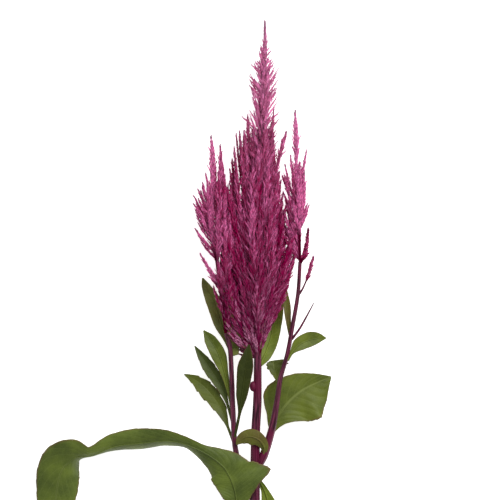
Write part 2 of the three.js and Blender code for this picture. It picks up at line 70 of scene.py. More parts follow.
RIGHT_FORK = (3.4, -55.2, 14)  # where the right branch leaves the stem
BUD_PLACE = (-2.4, -15.2, 17.3)
BUD_RADIUS = 2.2
BUD_STRETCH = 1.5  # how much longer than wide the bud is
CUT_PLACE = (1.5, -196, 3.1)
CUT_SLANT = math.radians(35)  # between the cut and the stem's cross-section
CUT_RIM = 0.5  # the width of the green rim round the pith


def mix(start, end, share):
    return start + (end - start) * share


def smooth_line(points):
    """A smooth line through the points, as a function of the share of it that is passed, from 0 to 1."""
    knots = [Vector(point) for point in points]
    knots = [2 * knots[0] - knots[1], *knots, 2 * knots[-1] - knots[-2]]

    def at(share):
        place = min(max(share, 0), 1) * (len(knots) - 3)
        first = min(int(place), len(knots) - 4)
        before, start, end, after = knots[first:first + 4]
        gap_before, gap, gap_after = (
            max(math.sqrt((b - a).length), 1e-3) for a, b in ((before, start), (start, end), (end, after))
        )
        leave = (start - before) / gap_before - (end - before) / (gap_before + gap) + (end - start) / gap
        arrive = (end - start) / gap - (after - start) / (gap + gap_after) + (after - end) / gap_after
        leave, arrive, t = leave * gap, arrive * gap, place - first
        return (
            start + leave * t + (3 * (end - start) - 2 * leave - arrive) * t**2
            + (2 * (start - end) + leave + arrive) * t**3
        )

    return at


def axes_at(line, share):
    """Where the line is, with its direction, the direction to its right and the one that faces up."""
    nudge = 0.002
    tangent = (line(share + nudge) - line(share - nudge)).normalized()
    side = tangent.cross(UP).normalized()
    return line(share), tangent, side, side.cross(tangent)


def along(values, share):
    """The value at a share of a list of evenly spaced values."""
    place = min(max(share, 0), 1) * (len(values) - 1)
    first = int(place)
    return mix(values[first], values[min(first + 1, len(values) - 1)], place - first)


def bend_grid(bm, columns, rows, place):
    """A sheet of quads. The vertex at share u of its width and v of its length is put at place(u, v)."""
    made = bmesh.ops.create_grid(bm, x_segments=columns, y_segments=rows, size=0.5, calc_uvs=True)
    for vertex in made["verts"]:
        vertex.co = place(vertex.co.x + 0.5, vertex.co.y + 0.5)
    return made["verts"]


def tube(bm, line, radii, sides, rows, relief=lambda angle, share: 0):
    """A closed round tube along the line, its seam underneath, its radius swelled by relief times itself."""

    def place(u, v):
        point, _, side, normal = axes_at(line, v)
        angle = 2 * math.pi * u - math.pi / 2
        radius = along(radii, v) * (1 + relief(angle, v))
        return point + radius * (math.cos(angle) * side + math.sin(angle) * normal)

    made = bend_grid(bm, sides, rows, place)
    bmesh.ops.remove_doubles(bm, verts=made, dist=1e-4)
    ends = {edge for vertex in made if vertex.is_valid for edge in vertex.link_edges if edge.is_boundary}
    bmesh.ops.holes_fill(bm, edges=list(ends))


def set_order(bm):
    """Puts vertices and faces in order of place, because some operators order them otherwise each run."""
    for parts, place in ((bm.verts, lambda vertex: vertex.co[:]),
                         (bm.faces, lambda face: face.calc_center_median()[:])):
        for index, part in enumerate(sorted(parts, key=place)):
            part.index = index
        parts.sort()


def ribs(count):
    """Rounded ribs that wind slowly round a stalk, as the relief of a tube."""
    return lambda angle, share: RIB_DEPTH * math.cos(count * angle + 1.5 * share)


def colour(code):
    """An sRGB hex value as the linear colour of a shader socket."""
    channels = [int(code[i:i + 2], 16) / 255 for i in (1, 3, 5)]
    return (*(c / 12.92 if c <= 0.04045 else ((c + 0.055) / 1.055) ** 2.4 for c in channels), 1)


def add(tree, kind, inputs, **settings):
    """A node with its settings. inputs gives, by socket, a value or the output of the node that feeds it."""
    made = tree.nodes.new(kind)
    for name, value in settings.items():
        setattr(made, name, value)
    for socket, value in inputs.items():
        if isinstance(value, bpy.types.NodeSocket):
            tree.links.new(value, made.inputs[socket])
        else:
            made.inputs[socket].default_value = value
    return made


def new_material(name):
    """An empty node material, with its tree and its shader."""
    made = bpy.data.materials.new(name)
    made.use_nodes = True
    return made, made.node_tree, made.node_tree.nodes["Principled BSDF"]


def finish_piece(name, bm, material, nodes, smooth=True):
    """The mesh, moved into the frame, as a piece that rides on the plant and stands for the CAD nodes."""
    bmesh.ops.transform(bm, matrix=IN_FRAME, verts=bm.verts)
    for face in bm.faces:
        face.smooth = smooth
    mesh = bpy.data.meshes.new(name)
    bm.to_mesh(mesh)
    bm.free()
    mesh.materials.append(material)
    made = bpy.data.objects.new(name, mesh)
    bpy.context.scene.collection.objects.link(made)
    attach(made, "root")
    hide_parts(*nodes)


# A fresh herbaceous stem: smooth waxy skin, maroon over green, with paler streaks on its ribs. The streaks
# are 0.7 mm wide and up to 25 mm long, 26 of them round the stem, and the blotches are 11 mm across.
stem_skin, tree, shader = new_material("waxy_maroon_stem_skin")
place = add(tree, "ShaderNodeTexCoord", {}).outputs["Object"]
around = add(tree, "ShaderNodeUVMap", {}, uv_map="UVMap")
stretched = add(tree, "ShaderNodeMapping", {"Vector": around.outputs["UV"], "Scale": (26, 9, 1)})
streaks = add(tree, "ShaderNodeTexNoise", {"Vector": stretched.outputs[0], "Scale": 1, "Detail": 4})
blotches = add(tree, "ShaderNodeTexNoise", {"Vector": place, "Scale": 90, "Detail": 3})
streak_share = add(tree, "ShaderNodeMapRange", {
    "Value": streaks.outputs["Fac"], "From Min": 0.42, "From Max": 0.66})
blotch_share = add(tree, "ShaderNodeMapRange", {
    "Value": blotches.outputs["Fac"], "From Min": 0.5, "From Max": 0.72, "To Max": 0.6})
ribbed = add(tree, "ShaderNodeMix", {
    "Factor": streak_share.outputs[0], "A": colour("#30081a"), "B": colour("#7e3a54")}, data_type="RGBA")
flushed = add(tree, "ShaderNodeMix", {
    "Factor": blotch_share.outputs[0], "A": ribbed.outputs[2], "B": colour("#741640")}, data_type="RGBA")
skin = flushed.outputs[2]
for swelling in (RIGHT_FORK, BUD_PLACE):  # a redder flush, up to 13 mm from each
    distance = add(tree, "ShaderNodeVectorMath", {
        0: place, 1: IN_FRAME @ Vector(swelling)}, operation="DISTANCE")
    nearness = add(tree, "ShaderNodeMapRange", {
        "Value": distance.outputs["Value"], "From Min": 0.003, "From Max": 0.013, "To Min": 0.8, "To Max": 0})
    skin = add(tree, "ShaderNodeMix", {
        "Factor": nearness.outputs[0], "A": skin, "B": colour("#640c34")}, data_type="RGBA").outputs[2]
# On the cut face the map runs below 0, from -1 at the green rim to -2 on the moist pale pith
cut_map = add(tree, "ShaderNodeSeparateXYZ", {0: around.outputs["UV"]})
cut_share = add(tree, "ShaderNodeMapRange", {
    "Value": cut_map.outputs["Y"], "From Min": -0.9, "From Max": -0.1, "To Min": 1, "To Max": 0})
pith_share = add(tree, "ShaderNodeMapRange", {
    "Value": cut_map.outputs["Y"], "From Min": -2.0, "From Max": -1.0, "To Min": 1, "To Max": 0})
pith = add(tree, "ShaderNodeMix", {
    "Factor": pith_share.outputs[0], "A": colour("#6e7c34"), "B": colour("#bcc092")}, data_type="RGBA")
skin = add(tree, "ShaderNodeMix", {
    "Factor": cut_share.outputs[0], "A": skin, "B": pith.outputs[2]}, data_type="RGBA").outputs[2]
tree.links.new(skin, shader.inputs["Base Color"])
shader.inputs["Roughness"].default_value = 0.45
shader.inputs["Specular IOR Level"].default_value = 0.2
stem_bump = add(tree, "ShaderNodeBump", {
    "Height": streaks.outputs["Fac"], "Strength": 0.35, "Distance": 0.0003})
tree.links.new(stem_bump.outputs[0], shader.inputs["Normal"])

bm = bmesh.new()
bm.loops.layers.uv.new("UVMap")
tube(bm, smooth_line(STEM_AXIS), STEM_RADII, 60, 150, ribs(9))
offcut = Vector((0, -math.cos(CUT_SLANT), -math.sin(CUT_SLANT)))
trimmed = bmesh.ops.bisect_plane(
    bm, geom=bm.verts[:] + bm.edges[:] + bm.faces[:], plane_co=CUT_PLACE, plane_no=offcut,
    clear_outer=True)
cut_edges = [edge for edge in trimmed["geom_cut"] if isinstance(edge, bmesh.types.BMEdge)]
cut_face = bmesh.ops.holes_fill(bm, edges=cut_edges)["faces"]
cut_rim = bmesh.ops.inset_region(bm, faces=cut_face, thickness=CUT_RIM)["faces"]
pith_corners = {vertex for face in cut_face for vertex in face.verts}
stem_map = bm.loops.layers.uv["UVMap"]
for face in cut_face + cut_rim:
    for loop in face.loops:
        loop[stem_map].uv = (0, -2 if loop.vert in pith_corners else -1)
    for edge in face.edges:
        edge.smooth = all(beside in cut_face + cut_rim for beside in edge.link_faces)  # a crisp edge
tube(bm, smooth_line(LEFT_BRANCH), LEFT_RADII, 30, 110, ribs(6))
tube(bm, smooth_line(RIGHT_BRANCH), RIGHT_RADII, 30, 130, ribs(6))
tube(bm, smooth_line(SIDE_STALK), SIDE_STALK_RADII, 12, 16)
tube(bm, smooth_line(TWIG), TWIG_RADII, 12, 30)
bmesh.ops.create_uvsphere(
    bm, u_segments=16, v_segments=10, radius=BUD_RADIUS,
    matrix=Matrix.Translation(BUD_PLACE) @ Matrix.Diagonal((1, BUD_STRETCH, 1, 1)), calc_uvs=True)
set_order(bm)
finish_piece("stem_and_branches", bm, stem_skin, ["stem"])

# ---- Plumes ----
# A plume is a head of slim spires. Each spire is a thin stalk set all round with branchlets, and each
# branchlet is a thread that carries pointed papery bracts, magenta below and dull at its bare tip.

draw = random.Random(7)
GOLDEN_ANGLE = math.pi * (3 - math.sqrt(5))  # between neighbours round a stalk
FLOOR_GAP = 2.2  # the lowest that a branchlet's thread may come to the floor
SHORTEST_BRANCHLET = 2.2  # at a spire's tip
BRANCHLET_GROWTH = 0.27  # how much longer a branchlet is for each millimetre that it grows below the tip
TIP_BLOOM = 1.5  # the bloom of the branchlets at a spire's very tip, as drab all over as the others' tips
GREEN_BLOOM = -1  # the bloom of those that have stayed green
OPEN_SIDE = math.radians(165)  # how far round from outward the branchlets of a leaning spire stand
# For a branchlet's lowest and highest bract: its width, and how far its tip stands off the thread
BRACT_WIDTHS = (0.7, 0.4)
BRACT_LEANS = (0.5, 0.3)


def branchlet(bracts, bow):
    """A branchlet of unit height, widths in millimetres. rise is 0 at its root and 1 at its tip."""
    bm = bmesh.new()
    rise = bm.verts.layers.float.new("rise")
    bm.verts.layers.float.new("bloom")
    bmesh.ops.create_cone(
        bm, segments=3, radius1=0.4, radius2=0.15, depth=1, matrix=Matrix.Translation((0, 0, 0.5)))
    for index in range(bracts):
        share = (index + 0.5) / bracts
        width = mix(*BRACT_WIDTHS, share) * draw.uniform(0.85, 1.15)
        length = 2.4 / (bracts + 2.4) * draw.uniform(0.85, 1.15)
        lean = mix(*BRACT_LEANS, share) * draw.uniform(0.4, 1.4)
        foot = Matrix.Translation((0.12, 0, share * (1 - length)))
        leaned = Matrix.Identity(4)
        leaned[0][2] = lean / length
        shape = Matrix.Diagonal((0.4 * width, width, length, 1)) @ Matrix.Translation((0, 0, 0.5))
        bmesh.ops.create_cone(
            bm, cap_ends=True, segments=3, radius1=1, radius2=0, depth=1,
            matrix=Matrix.Rotation(index * GOLDEN_ANGLE, 4, "Z") @ foot @ leaned @ shape)
    for vertex in bm.verts:
        vertex[rise] = vertex.co.z
        vertex.co.x += bow * vertex.co.z**2
    mesh = bpy.data.meshes.new("branchlet")
    bm.to_mesh(mesh)
    bm.free()
    return mesh


# Short, middling and long branchlets, each bowed in by much or little, and out
BRANCHLETS = [
    [branchlet(bracts, bow * reach) for bow in (-0.7, -0.2, 0.4)]
    for bracts, reach in ((4, 0.5), (6, 1), (9, 2))
]


def plume_mesh():
    bm = bmesh.new()
    bm.loops.layers.uv.new("UVMap")
    bm.verts.layers.float.new("rise")
    bm.verts.layers.float.new("bloom")
    return bm


def set_branchlet(bm, root, direction, away, width, length, bloom):
    """
    Sets a branchlet on its root, bowed towards or from away. bloom is how pale it is, from 0 to 1, or it is
    TIP_BLOOM or GREEN_BLOOM.
    """
    bowed = (away - away.dot(direction) * direction).normalized()
    stand = Matrix((bowed, direction.cross(bowed), direction)).transposed().to_4x4()
    shoot = draw.choice(BRANCHLETS[min(int(length / 6), 2)]).copy()
    shoot.transform(Matrix.Translation(root) @ stand @ Matrix.Diagonal((width, width, length, 1)))
    shoot.attributes["bloom"].data.foreach_set("value", [bloom] * len(shoot.vertices))
    bm.from_mesh(shoot)
    bpy.data.meshes.remove(shoot)


def spire(
        bm, points, stalk, longest, lean=15, sway=0.6, full=1, density=2.3, stout=1.2, bare=0.05,
        outward=None, tone=0.4, green=0):
    """
    A stalk set with branchlets that shorten towards its tip, all round it or mostly on its outward side.
    longest is their greatest length, stout their width, density how many there are to the millimetre, and
    bare the share of the stalk below them. They lean from it by the angle lean, more or less by the share
    sway, and the larger full is, the less they shorten. tone is how pale they are, from 0 to 1, and green
    is the share of them that has stayed green.
    """
    line = smooth_line(points)
    height = sum((line(i / 20) - line((i + 1) / 20)).length for i in range(20))
    standing = len(bm.verts)
    tube(bm, line, [stalk, 0.8 * stalk, 0.5 * stalk], 6, 10)
    bm.verts.ensure_lookup_table()
    for vertex in bm.verts[standing:]:
        passed = (vertex.co - line(0)).length / height
        vertex[bm.verts.layers.float["rise"]] = min(0.4, 0.9 * passed) if outward else 0  # painted shade: dark at its root, and dark all along an upright spire's stalk
        vertex[bm.verts.layers.float["bloom"]] = min(1, max(0, tone - 0.1))
    count = round(density * height * (1 - bare))
    for index in range(count):
        share = mix(bare, 1 - 1.5 / height, (index + 0.5) / count)
        to_tip = (1 - share) * height
        point, tangent, side, normal = axes_at(line, share)
        turn = index * GOLDEN_ANGLE
        if outward:
            fan = 2 * ((index * 0.618 + 0.31) % 1) - 1  # the golden ratio keeps neighbours far apart
            turn = math.atan2(outward.dot(normal), outward.dot(side)) + OPEN_SIDE * fan
        away = math.cos(turn) * side + math.sin(turn) * normal
        tilt = math.radians(lean) * draw.uniform(1 - sway, 1 + sway) * min(1, 0.4 + full * to_tip / 30)
        length = min(longest, full * (SHORTEST_BRANCHLET + BRANCHLET_GROWTH * to_tip))
        length *= draw.uniform(0.75, 1.2)
        direction = math.cos(tilt) * tangent + math.sin(tilt) * away
        direction.z = max(direction.z, (FLOOR_GAP - point.z) / length)
        width = stout * min(1, 0.7 + to_tip / 40) * draw.uniform(0.8, 1.2)
        bloom = min(1, max(0, tone + draw.uniform(-0.4, 0.4)))
        if to_tip < 3:
            bloom = TIP_BLOOM
        if draw.random() < green:
            bloom = GREEN_BLOOM
        set_branchlet(bm, point, direction.normalized(), away, width, length, bloom)


def leaning_spire(bm, stalk, leaves_at, tip, longest, tone, **settings):
    """A side spire that leaves a stalk at a share of its length and bows out to its tip."""
    root, end = stalk(leaves_at), Vector(tip)
    outward = end - stalk(min(1, leaves_at + 0.3))
    outward.y = 0
    outward.normalize()
    middle = root.lerp(end, 0.5) + 0.03 * (end - root).length * outward
    spire(bm, [root, middle, end], 0.6, longest, outward=outward, tone=tone, **settings)


# Papery bracts: dull and thin, so they hardly shine. Deep magenta, paler where they are fresh, with a
# drab tip on each thread. The oldest ones, in the lowest 60 mm of the plume, have dried to a dull lilac.
bract_paper, tree, shader = new_material("papery_magenta_bracts")
rise = add(tree, "ShaderNodeAttribute", {}, attribute_name="rise")
bloom = add(tree, "ShaderNodeAttribute", {}, attribute_name="bloom")
pale = add(tree, "ShaderNodeMath", {0: bloom.outputs["Fac"], 1: 1.8}, operation="POWER")
flush = add(tree, "ShaderNodeMix", {
    "Factor": pale.outputs[0], "A": colour("#a60252"), "B": colour("#f282be")}, data_type="RGBA")
height = add(tree, "ShaderNodeSeparateXYZ", {0: add(tree, "ShaderNodeTexCoord", {}).outputs["Object"]})
age = add(tree, "ShaderNodeMapRange", {
    "Value": height.outputs["Y"], "From Min": 0.0, "From Max": 0.06, "To Min": 0.8, "To Max": 0})
dried = add(tree, "ShaderNodeMix", {
    "Factor": pale.outputs[0], "A": colour("#7c1e50"), "B": colour("#d498b6")}, data_type="RGBA")
aged = add(tree, "ShaderNodeMix", {
    "Factor": age.outputs[0], "A": flush.outputs[2], "B": dried.outputs[2]}, data_type="RGBA")
# Painted shade: each branchlet is coloured darker towards its root, and the spire stalks with it, down among
# the crowded spires.
root_shade_share = add(tree, "ShaderNodeMapRange", {"Value": rise.outputs["Fac"], "From Min": 0.0, "From Max": 0.6})
root_shaded = add(tree, "ShaderNodeMix", {
    "Factor": root_shade_share.outputs[0], "A": colour("#4c001e"), "B": aged.outputs[2]}, data_type="RGBA")
green_share = add(tree, "ShaderNodeMapRange", {
    "Value": bloom.outputs["Fac"], "From Min": GREEN_BLOOM, "From Max": -0.5, "To Min": 0.8, "To Max": 0})
greened = add(tree, "ShaderNodeMix", {
    "Factor": green_share.outputs[0], "A": root_shaded.outputs[2], "B": colour("#6c7038")}, data_type="RGBA")
youth = add(tree, "ShaderNodeMapRange", {
    "Value": height.outputs["Y"], "From Min": 0.1, "From Max": 0.17, "To Max": 0.35})
fresh = add(tree, "ShaderNodeMix", {
    "Factor": youth.outputs[0], "A": greened.outputs[2], "B": colour("#d8a4c4")}, data_type="RGBA")
tip_share = add(tree, "ShaderNodeMapRange", {
    "Value": rise.outputs["Fac"], "From Min": 0.7, "From Max": 0.95, "To Max": 0.75})
end_share = add(tree, "ShaderNodeMapRange", {
    "Value": bloom.outputs["Fac"], "From Min": 1.0, "From Max": TIP_BLOOM, "To Max": 0.8})
drab_share = add(tree, "ShaderNodeMath", {
    0: tip_share.outputs[0], 1: end_share.outputs[0]}, operation="MAXIMUM")
drab = add(tree, "ShaderNodeMix", {
    "Factor": drab_share.outputs[0], "A": fresh.outputs[2], "B": colour("#7e3058")}, data_type="RGBA")
tree.links.new(drab.outputs[2], shader.inputs["Base Color"])
shader.inputs["Roughness"].default_value = 0.6
shader.inputs["Specular IOR Level"].default_value = 0.0


def finish_plume(name, bm, node):
    finish_piece(name, bm, bract_paper, [node], smooth=False)


MAIN_AXIS = [(0.6, 2.3, 17.5), (0.6, 30, 16.4), (0.9, 65, 15), (1.6, 100, 14.8), (2.9, 135, 14.4),
             (3.9, 172, 13.6), (4.7, 210.4, 12.5)]
PLUME_LENGTH = MAIN_AXIS[-1][1]
CORE_RADII = [2, 4, 8.5, 6.5, 1.6, 0.8, 0.5]  # of the dark middle, where the stalks are crowded; it takes the dark root colour all over, as painted shade
TOP_SPIRE = [*MAIN_AXIS[3:5], (3.8, 166, 13.8), (4.5, 197, 13)]
TIP_SPIRE = [MAIN_AXIS[5], (4, 184, 13.4), (5, 197, 13), (4.9, 211.6, 12.4)]
# How far the side spires' tips stand off the plume's axis, at every 15 mm of its height
PLUME_REACH = [1.5, 3, 5.5, 10.5, 15, 16, 15, 13.5, 11.5, 8.5, 6.5]
SIDE_SPIRES = 108
LOWEST_TIP, HIGHEST_TIP = 27, 152  # of the side spires
SPIRE_LENGTHS = (38, 56)  # of the shortest and the longest side spire
SPIRE_DEPTHS = (1, 0.85, 0.6)  # how far out their tips stand by turns, as a share of the plume's reach
LOWEST_SPIRE = 2.4  # the floor presses the lowest spires flat


def side_spire(bm, index):
    """Low side spires lean out, high ones follow the plume's axis. One in three stays deep in the plume and
    is coloured darker, as painted shade.
    """
    axis = smooth_line(MAIN_AXIS)
    share = (index + 0.5) / SIDE_SPIRES
    depth = SPIRE_DEPTHS[index % len(SPIRE_DEPTHS)]
    turn = index * GOLDEN_ANGLE + 0.6
    outward = Vector((math.cos(turn), 0, math.sin(turn)))
    tip = mix(LOWEST_TIP, HIGHEST_TIP, share) + draw.uniform(-4, 4)
    root = max(2, tip - draw.uniform(*SPIRE_LENGTHS))
    reach = depth * along(PLUME_REACH, tip / 150)
    bowed = min(1, 1.5 * share)  # the lowest spires are straight, so that the plume's foot is pointed
    points = []
    for passed, out in ((0, 0), (0.3, mix(0.2, 0.55, bowed)), (0.65, mix(0.58, 0.88, bowed)), (1, 1)):
        point = axis(mix(root, tip, passed) / PLUME_LENGTH) + out * reach * outward
        points.append((point.x, point.y, max(point.z, LOWEST_SPIRE)))
    # Painted shade: the deeper a spire's tip stands in the plume, the darker its colour; higher spires are
    # paler
    tone = draw.uniform(0.15, 0.75) - 0.4 * (1 - depth) + 0.25 * share
    longest = mix(7, 12, min(1, 2.2 * share))
    spire(
        bm, points, 0.7, longest, lean=mix(18, 16, min(1, 2 * share)), full=1.3,
        bare=mix(0.5, 0.05, min(1, 2.5 * share)), outward=outward, tone=tone, green=0.04 if index < 20 else 0)


bm = plume_mesh()
tube(bm, smooth_line(MAIN_AXIS), CORE_RADII, 12, 40)
spire(bm, TOP_SPIRE, 1.3, 16, lean=33, sway=0.35, full=1.4, density=2, stout=1.9, bare=0.02, tone=0.9)
spire(bm, TIP_SPIRE, 1.5, 6, lean=10, full=1.2, density=3.4, stout=1.5, tone=0.8)
finish_plume("plume_main_spire", bm, "plume_main")
for third, name in enumerate(("low", "middle", "high")):
    bm = plume_mesh()
    for index in range(third * SIDE_SPIRES // 3, (third + 1) * SIDE_SPIRES // 3):
        side_spire(bm, index)
    finish_plume(f"plume_main_{name}_spires", bm, "plume_main")

# Spires at the plume's foot and flanks: the share of its axis at which each leaves it, its tip, and its
# longest branchlet
FOOT_SPIRES = [
    (0, (-13, 19, 17), 4), (0, (-10, 16, 20), 4), (0, (-15, 25, 14), 5), (0, (-12, 26, 20), 6),
    (0, (-6, 22, 22), 5), (0, (-15.5, 17, 15), 4), (0, (-16.5, 22, 18), 4), (0, (-15, 14, 17), 3.5),
    (0, (-12, 12, 18), 4), (0, (-17, 31, 17), 5), (0, (-15, 33, 16), 6), (0, (-9, 11, 15), 4),
    (0, (-6, 13, 19), 5), (0, (-8, 18, 14), 5), (0, (-4, 15, 21), 5), (0, (-3, 19, 23), 5),
    (0, (-14, 22, 20), 5), (0, (2, 13, 20), 3), (0, (3, 19, 22), 4), (0, (6, 25, 17), 3.5),
    (0, (1, 26, 24), 6), (0, (-9, 27, 23), 6), (0, (5, 20, 14), 3.5), (0, (-1, 17, 23), 5),
    (0, (-11, 30, 12), 5), (0, (-12, 22, 13), 4), (0, (-17, 24, 16), 4), (0, (-15.5, 27, 19), 4),
    (0, (-14.5, 20, 13), 4), (0, (-16.5, 29, 12), 4), (0, (-8, 9, 15), 3), (0, (-12, 8, 14), 3),
    (0, (-13.5, 11, 12), 3), (0, (-10, 6.5, 16), 3), (0, (-9.5, 4, 14), 1), (0, (-6.5, 3, 15), 1),
    (0, (-12, 5, 13), 1), (0, (-19.5, 36, 21), 6), (0.01, (-21, 44, 21.5), 6), (0.02, (-21.5, 52, 22.5), 7),
    (0, (-18, 33, 22.5), 6), (0, (-17, 19, 12), 4), (0, (-18, 24, 11), 4), (0, (-19, 30, 13), 4),
    (0.01, (-20, 47, 24), 7), (0.03, (-23, 60, 22), 7), (0, (-20, 40, 19), 5), (0.02, (-22.5, 50, 19.5), 6),
    (0, (-19, 21, 20), 3), (0, (-18, 18, 20.5), 2), (0, (-17, 15.5, 19), 2), (0, (-20, 25, 20.5), 4),
    (0, (-20.5, 29, 19.5), 4), (0.02, (19, 52, 16), 4), (0.03, (21, 58, 19), 5), (0.04, (22.5, 62, 17), 5),
]
FLANK_SPIRES = [
    (0, (-17, 40, 20), 7), (0.02, (-18, 48, 15), 8), (0.01, (-9, 34, 24), 7), (0.01, (8, 32, 21), 5),
    (0.01, (11.3, 40, 16), 5), (0.02, (14.3, 48, 20), 6), (0.04, (17.3, 56, 15), 6),
    (0.06, (20.3, 65, 21), 6), (0.09, (23, 74, 15), 6), (0.12, (24.3, 81, 20), 6), (0.12, (20, 74, 18), 8),
    (0.15, (20, 86, 16), 8), (0.14, (17, 82, 22), 8), (0.2, (16.2, 94, 16), 7), (0.05, (-19, 60, 22), 8),
    (0.08, (-20, 72, 16), 8), (0.12, (-20, 84, 23), 8), (0.16, (-19, 96, 17), 8),
    (0.2, (-18.5, 108, 21), 8), (0.24, (-17, 120, 17), 7), (0.22, (-14.2, 133, 19), 5),
    (0.33, (-13, 141.6, 13), 3), (0.36, (-10.9, 143.2, 17), 6), (0.4, (-8, 143.2, 20), 6),
    (0.45, (-5.8, 153.4, 15), 6), (0.36, (-10, 137, 19), 6), (0.38, (-8.5, 140, 14), 6),
    (0.38, (-7, 141, 16), 6), (0.5, (10.5, 157, 15), 7), (0.36, (12.5, 121, 19), 7),
    (0.4, (11, 130, 12), 7), (0.2, (-15.5, 126, 15), 6), (0.3, (-10, 136, 21), 6),
    (0.14, (-17, 112, 19), 8), (0.16, (-15, 118, 14), 8), (0.12, (-18, 101, 13), 8),
    (0.2, (-13.5, 125, 22), 7), (0.1, (-19.5, 92, 20), 8), (0.1, (-18, 88, 11), 8), (0.08, (-19, 76, 8), 8),
    (0.25, (14.8, 112, 18), 7), (0.22, (16, 104, 14), 7), (0.28, (14, 118, 14), 7), (0.18, (18, 97, 19), 7),
    (0.3, (13.5, 115, 22), 7), (0.1, (22.5, 79, 22), 7), (0.12, (25, 84, 15), 7), (0.1, (24, 76, 17), 6),
    (0.06, (24, 66, 20), 6), (0.08, (24.5, 70, 16), 6),
]
FOOT_TONES = (0.1, 0.7, 0.3, 1)  # by turns, so that dark and pale spires lie side by side
FREE_SPIRE = [(8, 100, 18), (11.2, 116, 18.5), (14.6, 130, 17.5), (18, 142.4, 16)]  # the one that stands off

bm = plume_mesh()
for index, (leaves_at, tip, longest) in enumerate(FOOT_SPIRES):
    leaning_spire(
        bm, smooth_line(MAIN_AXIS), leaves_at, tip, longest + 3, FOOT_TONES[index % len(FOOT_TONES)],
        bare=0.35, green=0.08)
finish_plume("plume_main_foot_spires", bm, "plume_main")

bm = plume_mesh()
for leaves_at, tip, longest in FLANK_SPIRES:
    leaning_spire(bm, smooth_line(MAIN_AXIS), leaves_at, tip, longest, draw.uniform(0.15, 0.65), density=2.2)
spire(bm, FREE_SPIRE, 0.8, 7, full=1.2, tone=0.6)
finish_plume("plume_main_flank_spires", bm, "plume_main")

# ---- Plumes of the branches ----
# Each side branch ends in its own small plume: a spire on the branch's line, and shorter spires that leave
# it for their tips. The right branch forks into a slim spike too, and a thin stalk of it holds one more.

LEFT_STALK = [(-19.4, 17.8, 18.1), (-21.7, 38, 18.3), (-25.4, 64, 18.3), (-27.8, 84, 17.9),
              (-27.9, 102, 17.5), (-27.5, 122, 16.5), (-28.5, 140, 15.5)]
# The share of the stalk at which each side spire leaves it, its tip, and its longest branchlet
LEFT_SPIRES = [
    (0.08, (-27, 46.5, 20.5), 4), (0.24, (-35.3, 67, 15.5), 5), (0.22, (-33.6, 64.5, 19), 6),
    (0.2, (-31, 60, 14), 6), (0.16, (-24.5, 62, 29.5), 8), (0.18, (-25, 66, 5), 8),
    (0.36, (-38, 82, 19.5), 5), (0.5, (-39.2, 103, 17), 4), (0.5, (-39.4, 98, 20), 4),
    (0.55, (-36.7, 107.4, 14), 4), (0.6, (-33.8, 111, 19), 4), (0.66, (-31.8, 117.2, 17), 4),
    (0.42, (-37.6, 91, 15), 4), (0.42, (-35.5, 94, 22), 5), (0.45, (-34, 101, 9), 6),
    (0.3, (-24, 96, 30.5), 8), (0.45, (-31, 108, 25), 6), (0.4, (-22.8, 134.8, 19.5), 6),
    (0.4, (-22, 130, 17), 6), (0.34, (-25, 112, 5), 8), (0.02, (-13, 46, 22), 7), (0.02, (-16, 54, 13), 7),
    (0.02, (-17, 60, 25), 8), (0.1, (-20, 76, 24), 8), (0.15, (-19, 84, 12), 8), (0.2, (-20, 96, 25), 8),
    (0.25, (-19.5, 106, 14), 8), (0.3, (-20, 116, 22), 7), (0.35, (-30, 98, 24), 7),
    (0.4, (-31, 110, 13), 6), (0.3, (-30, 88, 13), 6), (0.5, (-26, 122, 13), 6), (0, (-14, 34, 16), 5),
    (0, (-12, 40, 12), 6), (0, (-17, 36, 22), 5), (0, (-22.6, 38, 18), 3.5), (0, (-20.4, 31, 19), 3),
    (0.03, (-23.4, 44, 15), 4), (0, (-19, 30, 20), 4), (0.1, (-25.4, 54, 18), 5), (0, (-17, 30, 15), 4),
    (0, (-20, 37, 14), 5), (0, (-16, 26, 20), 4), (0, (-18, 40, 17), 5), (0.1, (-19, 70, 8), 8),
    (0.05, (-18, 58, 7), 7), (0.2, (-19.5, 86, 7), 8), (0.02, (-17, 48, 8), 6), (0.2, (-17.5, 104, 18), 8),
    (0.24, (-18, 110, 12), 8), (0.3, (-21, 122, 15), 7), (0.1, (-22, 84, 17), 8), (0.12, (-17, 92, 21), 8),
    (0.3, (-24, 118, 23), 7), (0.4, (-36.5, 86, 17), 4), (0.46, (-38.4, 94.5, 18), 4),
    (0.5, (-36.2, 101, 21), 4), (0.36, (-36.4, 78.5, 18), 4), (0.46, (-37.6, 98.5, 14), 4),
    (0.55, (-35, 106, 17), 4), (0.33, (-34.2, 74, 16), 5), (0.58, (-34, 108.6, 15), 4),
]
RIGHT_STALK = [(26.7, 62.3, 19), (26.2, 82, 18.9), (24.9, 101, 18.5), (24.3, 131, 17.5), (23.7, 156.4, 16.5)]
